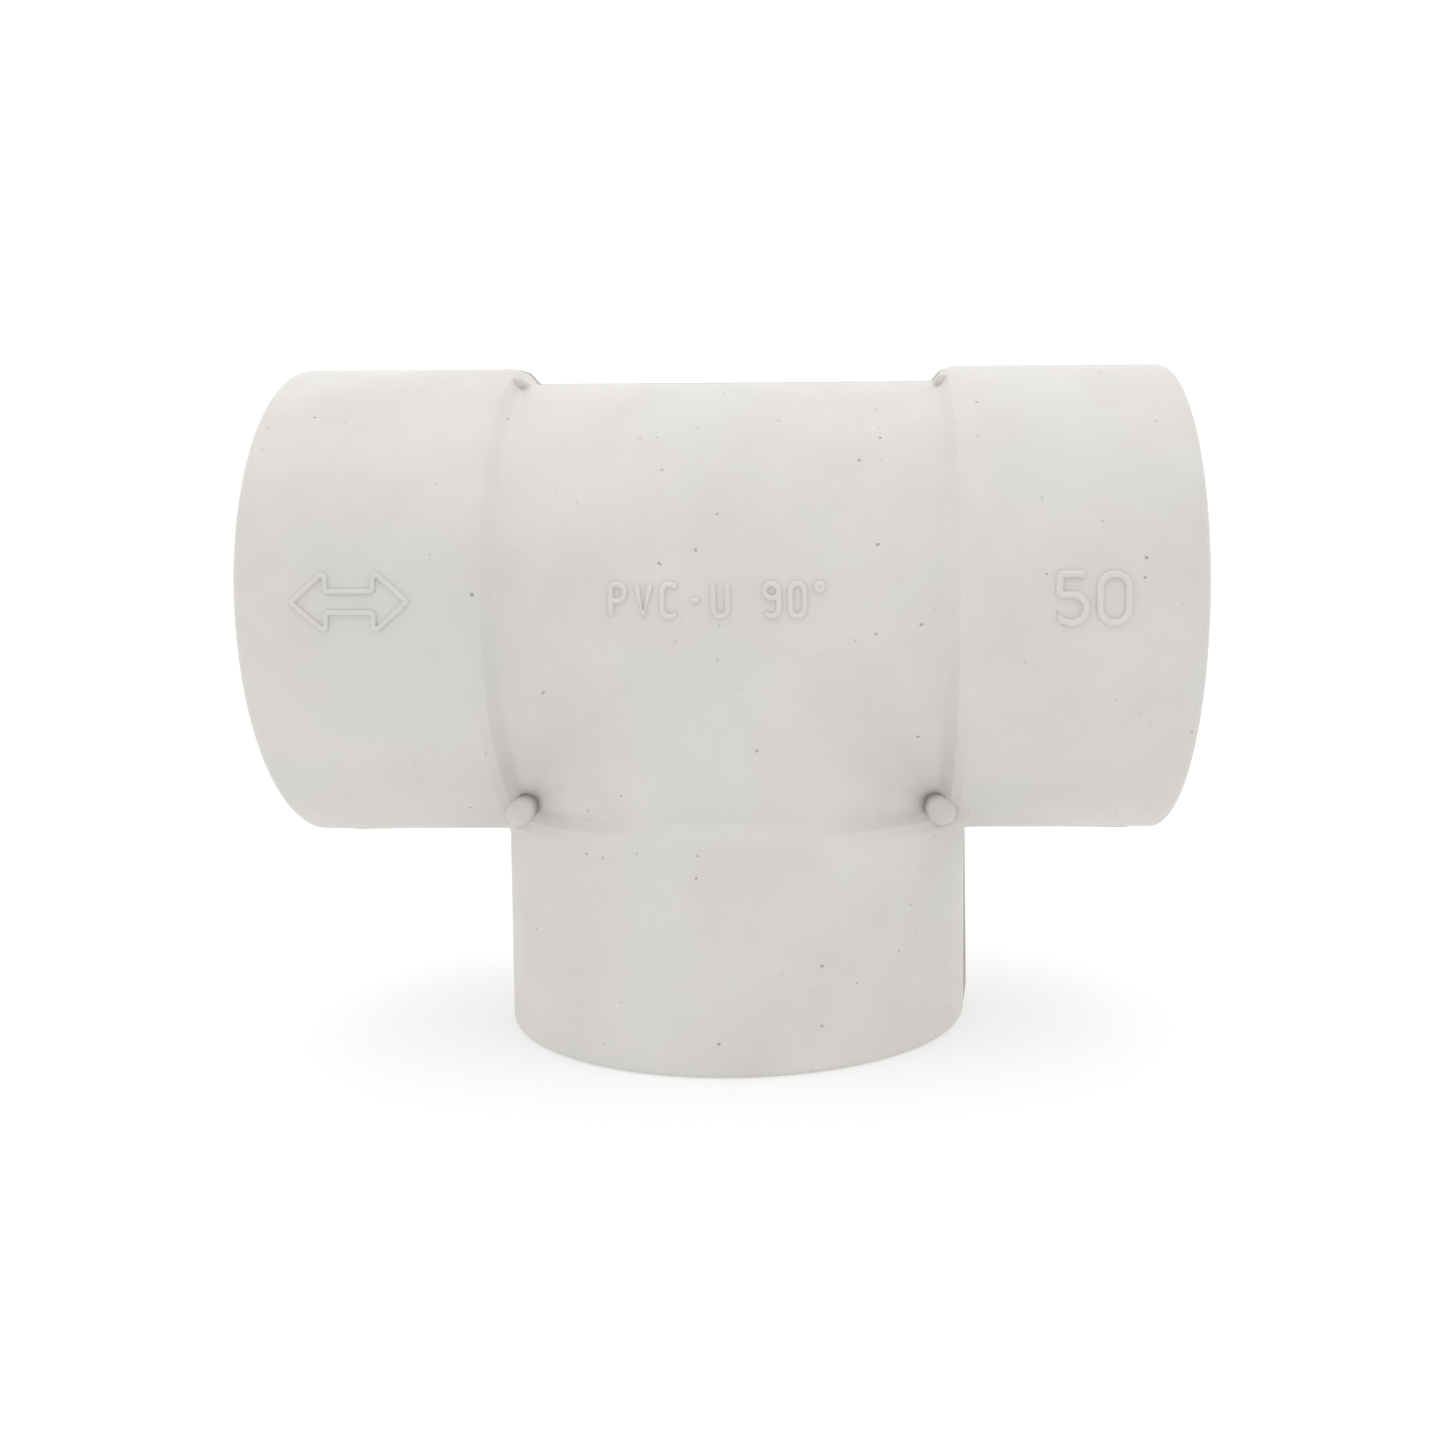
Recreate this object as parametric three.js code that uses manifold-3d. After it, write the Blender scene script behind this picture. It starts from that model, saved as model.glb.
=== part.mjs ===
// Equal 90 degree tee for 50 mm solvent-weld drainage pipe, in PVC-U.
// Millimetres. The run lies along X, the branch points down and the raised marks face -Y.
// The origin is the centre of the branch mouth, on the plane that the tee stands on.
// The tee is one moulding. It is held here as its body and its three sockets, which meet on flat
// planes across each arm, just outside the corners where the sockets run into each other.

import * as THREE from 'three';
import { mergeVertices } from 'three/addons/utils/BufferGeometryUtils.js';
import Module from 'manifold-3d';

// Each arm, measured from the point where the three axes cross.
const CENTRE_TO_MOUTH = 51;
const SOCKET_RADIUS = 28;
const BARREL_RADIUS = 26.2;
const WATERWAY_RADIUS = 23.2;
const PIPE_STOP = 26;
const SOCKET_SPLIT = 28.5;

// The shoulder from the barrel up to the socket: a steep slope, then a narrow, gentle one.
const SHOULDER_FOOT = { radius: BARREL_RADIUS, distance: 23.8, fillet: 1 };
const SHOULDER_EDGE = { radius: 27.65, distance: 25.1, fillet: 0.4 };
const SHOULDER_TOP = { radius: SOCKET_RADIUS, distance: 26.2, fillet: 1 };

// The bore that takes the pipe tapers a little towards its stop.
const BORE_RADIUS_AT_MOUTH = 25.2;
const BORE_RADIUS_AT_STOP = 25;
const LEAD_IN = 0.8;
const RIM_FILLET = 0.9;

// Ejector pads about Y, wider at the root: a large pair in the crotches and a small pair above the
// shoulders.
const CROTCH_PAD = { x: 24.05, aboveAxis: -24.05, end: 15.3, radius: 1.68, root: 9.5, rootRadius: 2.5 };
const SHOULDER_PAD = { x: 24.4, aboveAxis: 25.1, end: 10.6, radius: 0.7, root: 5, rootRadius: 0.9 };

// Raised marks: a size figure, a material and angle, and a plain two-way flow arrow.
const MARK_HEIGHT = 0.5;
const MARK_ROOT = 1;
const FIGURE = { x: 38.7, width: 3, height: 5, gap: 1.4, stroke: 0.8 };
const LETTER = { x: 0, width: 1.5, height: 3.4, gap: 1.2, stroke: 0.6 };
const ARROW = { x: -38.6, length: 12.2, head: 3.6, headHalf: 3.2, shaftHalf: 1.1, stroke: 0.6 };

// The figure 5 and the hyphen, as shares of the box that each character fills.
const FIVE = { bowl: 0.29, foot: 0.24, footCentre: 0.42, neckTop: 0.1, neckEnd: 0.06 };
const HYPHEN_INSET = 0.1;
const LETTER_MOUTH = Math.PI / 9;
const LONGEST_MITRE = 3;

const ROUND_SEGMENTS = 72;
const PAD_SEGMENTS = 20;
const ARC_STEP = Math.PI / 8;
const OVERRUN = 5;
const GRID_PER_MM = 1024;
const MERGE_WITHIN = 1e-4;

const wasm = await Module();
wasm.setup();

// ---------- solids ----------

function solidFrom(geometry) {
  const bare = geometry.clone();
  bare.deleteAttribute('normal');
  bare.deleteAttribute('uv');
  const merged = mergeVertices(bare, MERGE_WITHIN);
  const corners = merged.index.array;
  const kept = [];
  for (let i = 0; i < corners.length; i += 3) {
    const [a, b, c] = [corners[i], corners[i + 1], corners[i + 2]];
    if (a !== b && b !== c && c !== a) kept.push(a, b, c);
  }
  return new wasm.Manifold(new wasm.Mesh({
    numProp: 3,
    vertProperties: merged.attributes.position.array,
    triVerts: new Uint32Array(kept),
  }));
}

function geometryFrom(solid) {
  const mesh = solid.getMesh();
  const geometry = new THREE.BufferGeometry();
  geometry.setAttribute('position', new THREE.BufferAttribute(mesh.vertProperties, 3));
  geometry.setIndex(new THREE.BufferAttribute(mesh.triVerts, 1));
  geometry.computeVertexNormals();
  return geometry;
}

function union(solids) {
  return solids.reduce((all, next) => all.add(next));
}

const LIFT = new THREE.Matrix4().makeTranslation(0, 0, CENTRE_TO_MOUTH);
const ARMS = {
  right: LIFT.clone().multiply(new THREE.Matrix4().makeRotationZ(-Math.PI / 2)),
  left: LIFT.clone().multiply(new THREE.Matrix4().makeRotationZ(Math.PI / 2)),
  branch: LIFT.clone().multiply(new THREE.Matrix4().makeRotationX(-Math.PI / 2)),
};

// Points are (radius, distance from the crossing of the axes), in order with the material on
// their left. Corners are held to a fine grid, so that arms that mirror each other match exactly.
function alongArm(points, arm) {
  const geometry = new THREE.LatheGeometry(points, ROUND_SEGMENTS).applyMatrix4(ARMS[arm]);
  const places = geometry.getAttribute('position').array;
  places.forEach((value, i) => {
    places[i] = Math.round(value * GRID_PER_MM) / GRID_PER_MM;
  });
  return solidFrom(geometry);
}

// A profile from the crossing outwards, mirrored so that it runs through both arms. Its first two
// points lie on the crossing itself and drop out.
function bothWays(points) {
  const [, , ...outwards] = points;
  const opposite = outwards.map((p) => new THREE.Vector2(p.x, -p.y)).reverse();
  return [...opposite, ...outwards];
}

// ---------- profiles of an arm ----------

const at = (radius, distance, fillet = 0) => ({ place: new THREE.Vector2(radius, distance), fillet });

// A run of corners, each inner one rounded by a tangent arc of its own fillet radius.
function rounded(corners) {
  const points = [];
  corners.forEach(({ place, fillet }, i) => {
    const before = corners[i - 1];
    const after = corners[i + 1];
    if (!fillet || !before || !after) {
      points.push(place.clone());
      return;
    }
    const toBefore = before.place.clone().sub(place).normalize();
    const toAfter = after.place.clone().sub(place).normalize();
    const half = Math.acos(THREE.MathUtils.clamp(toBefore.dot(toAfter), -1, 1)) / 2;
    const bisector = toBefore.clone().add(toAfter).normalize();
    const centre = place.clone().addScaledVector(bisector, fillet / Math.sin(half));
    const start = place.clone().addScaledVector(toBefore, fillet / Math.tan(half)).sub(centre);
    const turn = Math.sign(toBefore.cross(toAfter)) * (2 * half - Math.PI);
    const steps = Math.ceil(Math.abs(turn) / ARC_STEP);
    for (let step = 0; step <= steps; step++) {
      const spoke = start.clone().rotateAround(new THREE.Vector2(), (turn * step) / steps);
      points.push(centre.clone().add(spoke));
    }
  });
  return points;
}

function boreRadius(distance) {
  return THREE.MathUtils.mapLinear(
    distance, PIPE_STOP, CENTRE_TO_MOUTH, BORE_RADIUS_AT_STOP, BORE_RADIUS_AT_MOUTH,
  );
}

// From the crossing, out along the barrel and up the shoulder to the split.
function bodyProfile() {
  const shoulder = [SHOULDER_FOOT, SHOULDER_EDGE, SHOULDER_TOP];
  return rounded([
    at(0, 0),
    at(BARREL_RADIUS, 0),
    ...shoulder.map(({ radius, distance, fillet }) => at(radius, distance, fillet)),
    at(SOCKET_RADIUS, SOCKET_SPLIT),
    at(0, SOCKET_SPLIT),
  ]);
}

function waterwayProfile() {
  const outside = SOCKET_SPLIT + OVERRUN;
  return rounded([
    at(0, 0),
    at(WATERWAY_RADIUS, 0),
    at(WATERWAY_RADIUS, PIPE_STOP),
    at(boreRadius(PIPE_STOP), PIPE_STOP),
    at(boreRadius(outside), outside),
    at(0, outside),
  ]);
}

function socketProfile() {
  const inner = at(boreRadius(SOCKET_SPLIT), SOCKET_SPLIT);
  return rounded([
    inner,
    at(SOCKET_RADIUS, SOCKET_SPLIT),
    at(SOCKET_RADIUS, CENTRE_TO_MOUTH, RIM_FILLET),
    at(BORE_RADIUS_AT_MOUTH + LEAD_IN, CENTRE_TO_MOUTH),
    at(boreRadius(CENTRE_TO_MOUTH - LEAD_IN), CENTRE_TO_MOUTH - LEAD_IN),
    inner,
  ]);
}

// ---------- ejector pads ----------

function ejectorPad({ x, aboveAxis, end, radius, root, rootRadius }, side) {
  const pad = new THREE.CylinderGeometry(rootRadius, radius, end - root, PAD_SEGMENTS);
  pad.translate(side * x, -(end + root) / 2, CENTRE_TO_MOUTH + aboveAxis);
  return solidFrom(pad);
}

// ---------- raised marks ----------

const point = (x, y) => new THREE.Vector2(x, y);

function arc(x, y, radius, from, to) {
  const steps = Math.ceil(Math.abs(to - from) / ARC_STEP);
  return Array.from({ length: steps + 1 }, (_, i) => {
    const angle = from + ((to - from) * i) / steps;
    return point(x + radius * Math.cos(angle), y + radius * Math.sin(angle));
  });
}

const QUARTER = Math.PI / 2;
const HALF = 2 * QUARTER;
const FULL = 4 * QUARTER;
const openLine = (...line) => ({ ring: false, line });
const ring = (...line) => ({ ring: true, line });
const circle = (x, y, radius) => ring(...arc(x, y, radius, 0, FULL).slice(0, -1));

// The middle lines of each character, in a box w wide and h high.
const CHARACTERS = {
  0: (w, h) => {
    const end = w / 2;
    return [ring(...arc(end, h - end, end, 0, HALF), ...arc(end, end, end, HALF, FULL))];
  },
  5: (w, h) => {
    const bowl = FIVE.bowl * h;
    const foot = FIVE.foot * h;
    return [openLine(
      point(w, h),
      point(FIVE.neckTop * w, h),
      point(FIVE.neckEnd * w, 2 * bowl),
      ...arc(w - bowl, bowl, bowl, QUARTER, -QUARTER),
      ...arc(FIVE.footCentre * w, foot, foot, -QUARTER, LETTER_MOUTH - HALF),
    )];
  },
  9: (w, h) => {
    const end = w / 2;
    return [
      circle(end, h - end, end),
      openLine(point(w, h - end), ...arc(end, end, end, 0, LETTER_MOUTH - HALF)),
    ];
  },
  P: (w, h) => {
    const bowl = h / 4;
    return [
      openLine(point(0, 0), point(0, h)),
      openLine(point(0, h), ...arc(w - bowl, h - bowl, bowl, QUARTER, -QUARTER), point(0, h / 2)),
    ];
  },
  V: (w, h) => [openLine(point(0, h), point(w / 2, 0), point(w, h))],
  C: (w, h) => {
    const end = w / 2;
    const top = arc(end, h - end, end, LETTER_MOUTH, HALF);
    return [openLine(...top, ...arc(end, end, end, HALF, FULL - LETTER_MOUTH))];
  },
  U: (w, h) => [openLine(point(0, h), ...arc(w / 2, w / 2, w / 2, HALF, FULL), point(w, h))],
  '-': (w, h) => [openLine(point(HYPHEN_INSET * w, h / 2), point((1 - HYPHEN_INSET) * w, h / 2))],
  '°': (w, h) => [circle(w / 4, h - w / 4, w / 4)],
  ' ': () => [],
};

// The line moved sideways, with its corners drawn out to a point that is cut off if it runs long.
function offsetLine(line, closed, distance) {
  const count = line.length;
  return line.map((here, i) => {
    const isFirst = i === 0 && !closed;
    const isLast = i === count - 1 && !closed;
    const before = line[(i + count - 1) % count];
    const after = line[(i + 1) % count];
    const into = (isFirst ? after.clone().sub(here) : here.clone().sub(before)).normalize();
    const outOf = (isLast ? into.clone() : after.clone().sub(here)).normalize();
    const across = point(-into.y - outOf.y, into.x + outOf.x).normalize();
    const mitre = Math.min(1 / across.dot(point(-into.y, into.x)), LONGEST_MITRE);
    return here.clone().addScaledVector(across, distance * mitre);
  });
}

// A stroke of even width along a middle line.
function strokeShape(stroke, width) {
  const sides = [width / 2, -width / 2].map((aside) => offsetLine(stroke.line, stroke.ring, aside));
  if (!stroke.ring) return new THREE.Shape([...sides[0], ...sides[1].reverse()]);
  const size = (side) => Math.abs(THREE.ShapeUtils.area(side));
  const [outer, inner] = sides.sort((one, other) => size(other) - size(one));
  const shape = new THREE.Shape(outer);
  shape.holes.push(new THREE.Path(inner));
  return shape;
}

// Strokes pushed out through a round wall and trimmed to an even height above it.
function raisedMark(strokes, width, wallRadius) {
  const push = { depth: MARK_ROOT + 2 * MARK_HEIGHT, bevelEnabled: false };
  const prisms = strokes.map((stroke) => {
    const prism = new THREE.ExtrudeGeometry(strokeShape(stroke, width), push);
    prism.rotateX(QUARTER);
    prism.translate(0, MARK_ROOT - wallRadius, CENTRE_TO_MOUTH);
    return solidFrom(prism);
  });
  const envelope = alongArm([
    new THREE.Vector2(0, -CENTRE_TO_MOUTH),
    new THREE.Vector2(wallRadius + MARK_HEIGHT, -CENTRE_TO_MOUTH),
    new THREE.Vector2(wallRadius + MARK_HEIGHT, CENTRE_TO_MOUTH),
    new THREE.Vector2(0, CENTRE_TO_MOUTH),
  ], 'right');
  return union(prisms).intersect(envelope);
}

function lettering(text, { x, width, height, gap }) {
  const pitch = width + gap;
  const start = x - (text.length * pitch - gap) / 2;
  return [...text].flatMap((character, i) => {
    const corner = point(start + i * pitch, -height / 2);
    return CHARACTERS[character](width, height).map((stroke) => ({
      ...stroke,
      line: stroke.line.map((place) => place.clone().add(corner)),
    }));
  });
}

function flowArrow({ x, length, head, headHalf, shaftHalf }) {
  const tip = length / 2;
  const neck = tip - head;
  const corners = [
    [tip, 0], [neck, headHalf], [neck, shaftHalf], [-neck, shaftHalf], [-neck, headHalf],
    [-tip, 0], [-neck, -headHalf], [-neck, -shaftHalf], [neck, -shaftHalf], [neck, -headHalf],
  ];
  return [ring(...corners.map(([along, up]) => point(x + along, up)))];
}

// ---------- the four pieces ----------

function teeBody() {
  const shell = alongArm(bothWays(bodyProfile()), 'right').add(alongArm(bodyProfile(), 'branch'));
  const pads = [-1, 1].flatMap((side) => [ejectorPad(CROTCH_PAD, side), ejectorPad(SHOULDER_PAD, side)]);
  const marks = raisedMark(lettering('PVC-U 90°', LETTER), LETTER.stroke, BARREL_RADIUS);
  return union([shell, ...pads, marks])
    .subtract(alongArm(bothWays(waterwayProfile()), 'right'))
    .subtract(alongArm(waterwayProfile(), 'branch'));
}

function runSocket(arm, strokes, width) {
  return alongArm(socketProfile(), arm).add(raisedMark(strokes, width, SOCKET_RADIUS));
}

const FINISH = { color: 0xdedad6, roughness: 0.45, metalness: 0 };

function piece(name, solid) {
  const mesh = new THREE.Mesh(geometryFrom(solid), new THREE.MeshStandardMaterial(FINISH));
  mesh.name = name;
  return mesh;
}

const tee = new THREE.Group();
tee.name = 'pvc_tee';
tee.add(
  piece('tee_body', teeBody()),
  piece('run_socket_left', runSocket('left', flowArrow(ARROW), ARROW.stroke)),
  piece('run_socket_right', runSocket('right', lettering('50', FIGURE), FIGURE.stroke)),
  piece('branch_socket', alongArm(socketProfile(), 'branch')),
);

export default tee;
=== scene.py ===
import math

import bmesh
import bpy
from mathutils import Matrix, Vector


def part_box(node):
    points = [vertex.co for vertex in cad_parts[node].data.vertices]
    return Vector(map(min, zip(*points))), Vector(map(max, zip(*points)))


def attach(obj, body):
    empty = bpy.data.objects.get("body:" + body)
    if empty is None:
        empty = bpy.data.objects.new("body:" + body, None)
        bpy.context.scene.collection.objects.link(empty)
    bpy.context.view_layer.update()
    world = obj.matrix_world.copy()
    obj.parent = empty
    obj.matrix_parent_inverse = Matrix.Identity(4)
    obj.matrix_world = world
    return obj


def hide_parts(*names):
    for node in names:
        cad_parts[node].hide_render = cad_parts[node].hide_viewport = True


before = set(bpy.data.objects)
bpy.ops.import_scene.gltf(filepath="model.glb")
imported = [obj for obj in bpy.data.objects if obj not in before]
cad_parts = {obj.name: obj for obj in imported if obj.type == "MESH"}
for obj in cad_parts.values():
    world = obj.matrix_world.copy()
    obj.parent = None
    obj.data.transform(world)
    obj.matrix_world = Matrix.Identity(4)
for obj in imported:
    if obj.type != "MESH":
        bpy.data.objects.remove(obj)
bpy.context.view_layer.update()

# ---------- sizes, in metres, from the frame ----------

MM = 0.001
SOCKET_LOW, SOCKET_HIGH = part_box("run_socket_right")
AXIS_HEIGHT = (SOCKET_LOW[2] + SOCKET_HIGH[2]) / 2
SOCKET_RADIUS = (SOCKET_HIGH[2] - SOCKET_LOW[2]) / 2
MOUTH = SOCKET_HIGH[0]
SPLIT = SOCKET_LOW[0]
CROSSING = Vector((0, 0, AXIS_HEIGHT))

# ---------- sizes of the moulding, measured out along an arm from the crossing ----------

BARREL_RADIUS = 26.2 * MM
WATERWAY_RADIUS = 23.2 * MM
PIPE_STOP = 26 * MM
STOP_FILLET = 0.3 * MM
SHOULDER_FOOT = 23.8 * MM
SHOULDER_EDGE = 25.1 * MM
SHOULDER_EDGE_RADIUS = 27.65 * MM
SHOULDER_TOP = 26.2 * MM
SHOULDER_FOOT_FILLET = 1 * MM
SHOULDER_EDGE_FILLET = 0.4 * MM
SHOULDER_TOP_FILLET = 1 * MM
BORE_AT_STOP = 25 * MM
BORE_AT_MOUTH = 25.2 * MM
LEAD_IN = 0.8 * MM
RIM_FILLET = 0.9 * MM
INNER_RIM_FILLET = 0.25 * MM

# A face that lies nearer to an arm's axis than this is inside a bore.
INSIDE_RADIUS = 25.9 * MM

# The fillet where the barrel meets the neck, the smaller one where socket meets socket, and how far
# out from the crossing the first begins to narrow to the second.
NECK_FILLET = 2.7 * MM
SOCKET_FILLET = 0.5 * MM
NARROWING_START = 19 * MM
FILLET_PASSES = 5

# ---------- how fine the meshes are ----------

SEGMENTS = 192
FILLET_STEPS = 6
LEAST_STEP = 0.14 * MM
SOCKET_STEP = 2.5 * MM
MERGE = 0.002 * MM
SLIVER = 0.005 * MM
ON_SURFACE = 20 * MERGE
SMOOTH_UP_TO = math.radians(32)


# ---------- working on one object ----------


def select_only(thing):
    bpy.ops.object.select_all(action="DESELECT")
    thing.select_set(True)
    bpy.context.view_layer.objects.active = thing


def enter_edit(thing):
    select_only(thing)
    bpy.ops.object.mode_set(mode="EDIT")
    bpy.ops.mesh.select_mode(type="VERT")
    bpy.ops.mesh.select_all(action="SELECT")


def leave_edit():
    bpy.ops.object.mode_set(mode="OBJECT")


def settle(thing):
    """Puts a new object's place into its mesh."""
    select_only(thing)
    bpy.ops.object.transform_apply(location=True, rotation=True, scale=True)


def draw_outline(name, points):
    """A chain of edges through the points, drawn by extruding one vertex from each to the next."""
    bpy.ops.object.select_all(action="DESELECT")
    bpy.ops.mesh.primitive_plane_add(size=MM)
    outline = bpy.context.object
    outline.name = name
    enter_edit(outline)
    bpy.ops.mesh.merge(type="CENTER")
    bpy.ops.transform.translate(value=points[0])
    for here, there in zip(points, points[1:]):
        bpy.ops.mesh.extrude_vertices_move(TRANSFORM_OT_translate={"value": there - here})
    leave_edit()
    return outline


def spin_round(thing, axis):
    enter_edit(thing)
    bpy.ops.mesh.spin(
        steps=SEGMENTS, angle=math.tau, center=CROSSING, axis=axis, use_auto_merge=True
    )
    bpy.ops.mesh.select_all(action="SELECT")
    bpy.ops.mesh.remove_doubles(threshold=MERGE)
    leave_edit()


def cut_away(thing, normal):
    """Removes what lies in front of a plane through the crossing."""
    enter_edit(thing)
    bpy.ops.mesh.bisect(
        plane_co=CROSSING, plane_no=normal, clear_outer=True, threshold=MERGE / 2
    )
    leave_edit()


def join(things, name):
    bpy.ops.object.select_all(action="DESELECT")
    for thing in things:
        thing.select_set(True)
    bpy.context.view_layer.objects.active = things[0]
    bpy.ops.object.join()
    things[0].name = name
    return things[0]


def close_up(thing):
    """Merges what meets and turns every face outwards."""
    enter_edit(thing)
    bpy.ops.mesh.remove_doubles(threshold=MERGE)
    bpy.ops.mesh.normals_make_consistent(inside=False)
    leave_edit()


def drop_slivers(thing):
    """Takes out the very short edges that a union leaves where two surfaces nearly meet."""
    enter_edit(thing)
    bpy.ops.mesh.remove_doubles(threshold=SLIVER)
    leave_edit()


def smooth(thing):
    select_only(thing)
    bpy.ops.object.shade_smooth_by_angle(angle=SMOOTH_UP_TO)


# ---------- the outline of an arm: (distance out from the crossing, radius) ----------


def rounded(corners):
    """Replaces each corner that has a fillet radius with a tangent arc."""
    points = []
    for i, (distance, radius, fillet) in enumerate(corners):
        here = Vector((distance, radius))
        if not fillet:
            points.append(here)
            continue
        back = (Vector(corners[i - 1][:2]) - here).normalized()
        on = (Vector(corners[i + 1][:2]) - here).normalized()
        half = back.angle(on) / 2
        centre = here + (back + on).normalized() * fillet / math.sin(half)
        first = here + back * fillet / math.tan(half) - centre
        last = here + on * fillet / math.tan(half) - centre
        turn = first.angle_signed(last)
        for step in range(FILLET_STEPS + 1):
            spoke = Matrix.Rotation(-turn * step / FILLET_STEPS, 2) @ first
            points.append(centre + spoke)
    return points


def mitre_stations(radius, nearest, furthest):
    """Distances at which the 45 degree joint crosses the lines along a cylinder, so that it runs
    through corners of the mesh."""
    stations = []
    for step in range(SEGMENTS // 4 + 1):
        distance = radius * math.sin(math.tau * step / SEGMENTS)
        far_enough = not stations or distance - stations[-1] > LEAST_STEP
        if nearest <= distance <= furthest and far_enough:
            stations.append(distance)
    return stations


def bore_radius(distance):
    share = (distance - PIPE_STOP) / (MOUTH - PIPE_STOP)
    return BORE_AT_STOP + (BORE_AT_MOUTH - BORE_AT_STOP) * share


def body_outside():
    """From the crossing along the barrel, up the shoulder and on to where the socket begins."""
    shoulder = rounded(
        [
            (0, BARREL_RADIUS, 0),
            (SHOULDER_FOOT, BARREL_RADIUS, SHOULDER_FOOT_FILLET),
            (SHOULDER_EDGE, SHOULDER_EDGE_RADIUS, SHOULDER_EDGE_FILLET),
            (SHOULDER_TOP, SOCKET_RADIUS, SHOULDER_TOP_FILLET),
            (SPLIT, SOCKET_RADIUS, 0),
        ]
    )[1:-1]
    foot, edge = shoulder[0].x - LEAST_STEP, shoulder[-1].x + LEAST_STEP
    barrel = [Vector((d, BARREL_RADIUS)) for d in mitre_stations(BARREL_RADIUS, 0, foot)]
    collar_stations = [*mitre_stations(SOCKET_RADIUS, edge, SOCKET_RADIUS), SPLIT]
    collar = [Vector((d, SOCKET_RADIUS)) for d in collar_stations]
    return barrel + shoulder + collar


def body_inside():
    """Back from the socket's start, over the pipe stop and along the waterway to the crossing."""
    stop = rounded(
        [
            (SPLIT, bore_radius(SPLIT), 0),
            (PIPE_STOP, bore_radius(PIPE_STOP), STOP_FILLET),
            (PIPE_STOP, WATERWAY_RADIUS, STOP_FILLET),
            (0, WATERWAY_RADIUS, 0),
        ]
    )[:-1]
    waterway = mitre_stations(WATERWAY_RADIUS, 0, WATERWAY_RADIUS)
    return stop + [Vector((d, WATERWAY_RADIUS)) for d in reversed(waterway)]


def socket_ring():
    """Round a socket's wall: out along the outside, over the rim and back down the bore."""
    rim = rounded(
        [
            (SPLIT, SOCKET_RADIUS, 0),
            (MOUTH, SOCKET_RADIUS, RIM_FILLET),
            (MOUTH, BORE_AT_MOUTH + LEAD_IN, INNER_RIM_FILLET),
            (MOUTH - LEAD_IN, bore_radius(MOUTH - LEAD_IN), INNER_RIM_FILLET),
            (SPLIT, bore_radius(SPLIT), 0),
        ]
    )
    steps = round((MOUTH - SPLIT) / SOCKET_STEP)
    between = [SPLIT + (MOUTH - SPLIT - 2 * RIM_FILLET) * i / steps for i in range(1, steps)]
    outside = [Vector((d, SOCKET_RADIUS)) for d in between]
    bore = [Vector((d, bore_radius(d))) for d in reversed(between)]
    return [rim[0], *outside, *rim[1:-1], *bore, rim[-1], rim[0]]


# ---------- the arms ----------

ARMS = {
    "right": {"along": Vector((1, 0, 0)), "out": Vector((0, 0, 1))},
    "left": {"along": Vector((-1, 0, 0)), "out": Vector((0, 0, 1))},
    "branch": {"along": Vector((0, 0, -1)), "out": Vector((1, 0, 0))},
}


def turned(name, outline, arm):
    """An outline drawn in the plane of the arms and spun round its own arm."""
    along, out = ARMS[arm]["along"], ARMS[arm]["out"]
    thing = draw_outline(name, [CROSSING + along * p.x + out * p.y for p in outline])
    spin_round(thing, along)
    return thing


def outer_radius(distance, outline):
    """The outside radius of an arm at a distance from the crossing."""
    for near, far in zip(outline, outline[1:]):
        if distance <= far.x:
            share = (distance - near.x) / max(far.x - near.x, MERGE)
            return near.y + (far.y - near.y) * share
    return outline[-1].y


def neck_fillet_radius(distance, square):
    """Full size where the walls meet squarely and none where they run into one another. It narrows
    from the neck's fillet to the sockets' fillet on the way to the shoulder."""
    share = (distance - NARROWING_START) / (SHOULDER_FOOT - NARROWING_START)
    share = min(max(share, 0), 1)
    return (NECK_FILLET + (SOCKET_FILLET - NECK_FILLET) * share) * square


def onto_fillet(place, outline):
    """Moves a point of the outside onto the round that fills the corner between run and branch.
    An even bevel can't make it, because it fades away towards the front and back."""
    for _ in range(FILLET_PASSES):
        across, deep, down = place.x, place.y, -place.z
        run = Vector((0, deep, place.z))
        branch = Vector((across, deep, 0))
        over_run = run.length - outer_radius(abs(across), outline)
        over_branch = branch.length - outer_radius(down, outline)
        run.normalize()
        branch.normalize()
        radius = neck_fillet_radius(max(abs(across), down), 1 - run.dot(branch))
        short_run, short_branch = radius - over_run, radius - over_branch
        if short_run <= 0 or short_branch <= 0 or radius < MERGE:
            break
        reach = math.hypot(short_run, short_branch)
        slope = (run * short_run + branch * short_branch) / reach
        place = place + slope * (reach - radius) / slope.length_squared
    return place


def fill_crotches(body, outline):
    mesh = bmesh.new()
    mesh.from_mesh(body.data)
    for vertex in mesh.verts:
        place = vertex.co - CROSSING
        if place.z >= 0 or max(abs(place.x), -place.z) > SPLIT - MERGE:
            continue
        run = math.hypot(place.y, place.z) - outer_radius(abs(place.x), outline)
        branch = math.hypot(place.x, place.y) - outer_radius(-place.z, outline)
        if abs(min(run, branch)) < ON_SURFACE:
            vertex.co = CROSSING + onto_fillet(place, outline)
    mesh.to_mesh(body.data)
    mesh.free()


# ---------- ejector pads ----------

CROTCH_PAD = {
    "across": 24.05 * MM,
    "up": -24.05 * MM,
    "end": 15.3 * MM,
    "radius": 1.68 * MM,
    "root": 9.5 * MM,
    "root_radius": 2.5 * MM,
}
SHOULDER_PAD = {
    "across": 24.4 * MM,
    "up": 25.1 * MM,
    "end": 10.6 * MM,
    "radius": 0.7 * MM,
    "root": 5 * MM,
    "root_radius": 0.9 * MM,
}
PAD_SIDES = 56
PAD_ROUND = 0.42 * MM
PAD_ROUND_STEPS = 3


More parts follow.
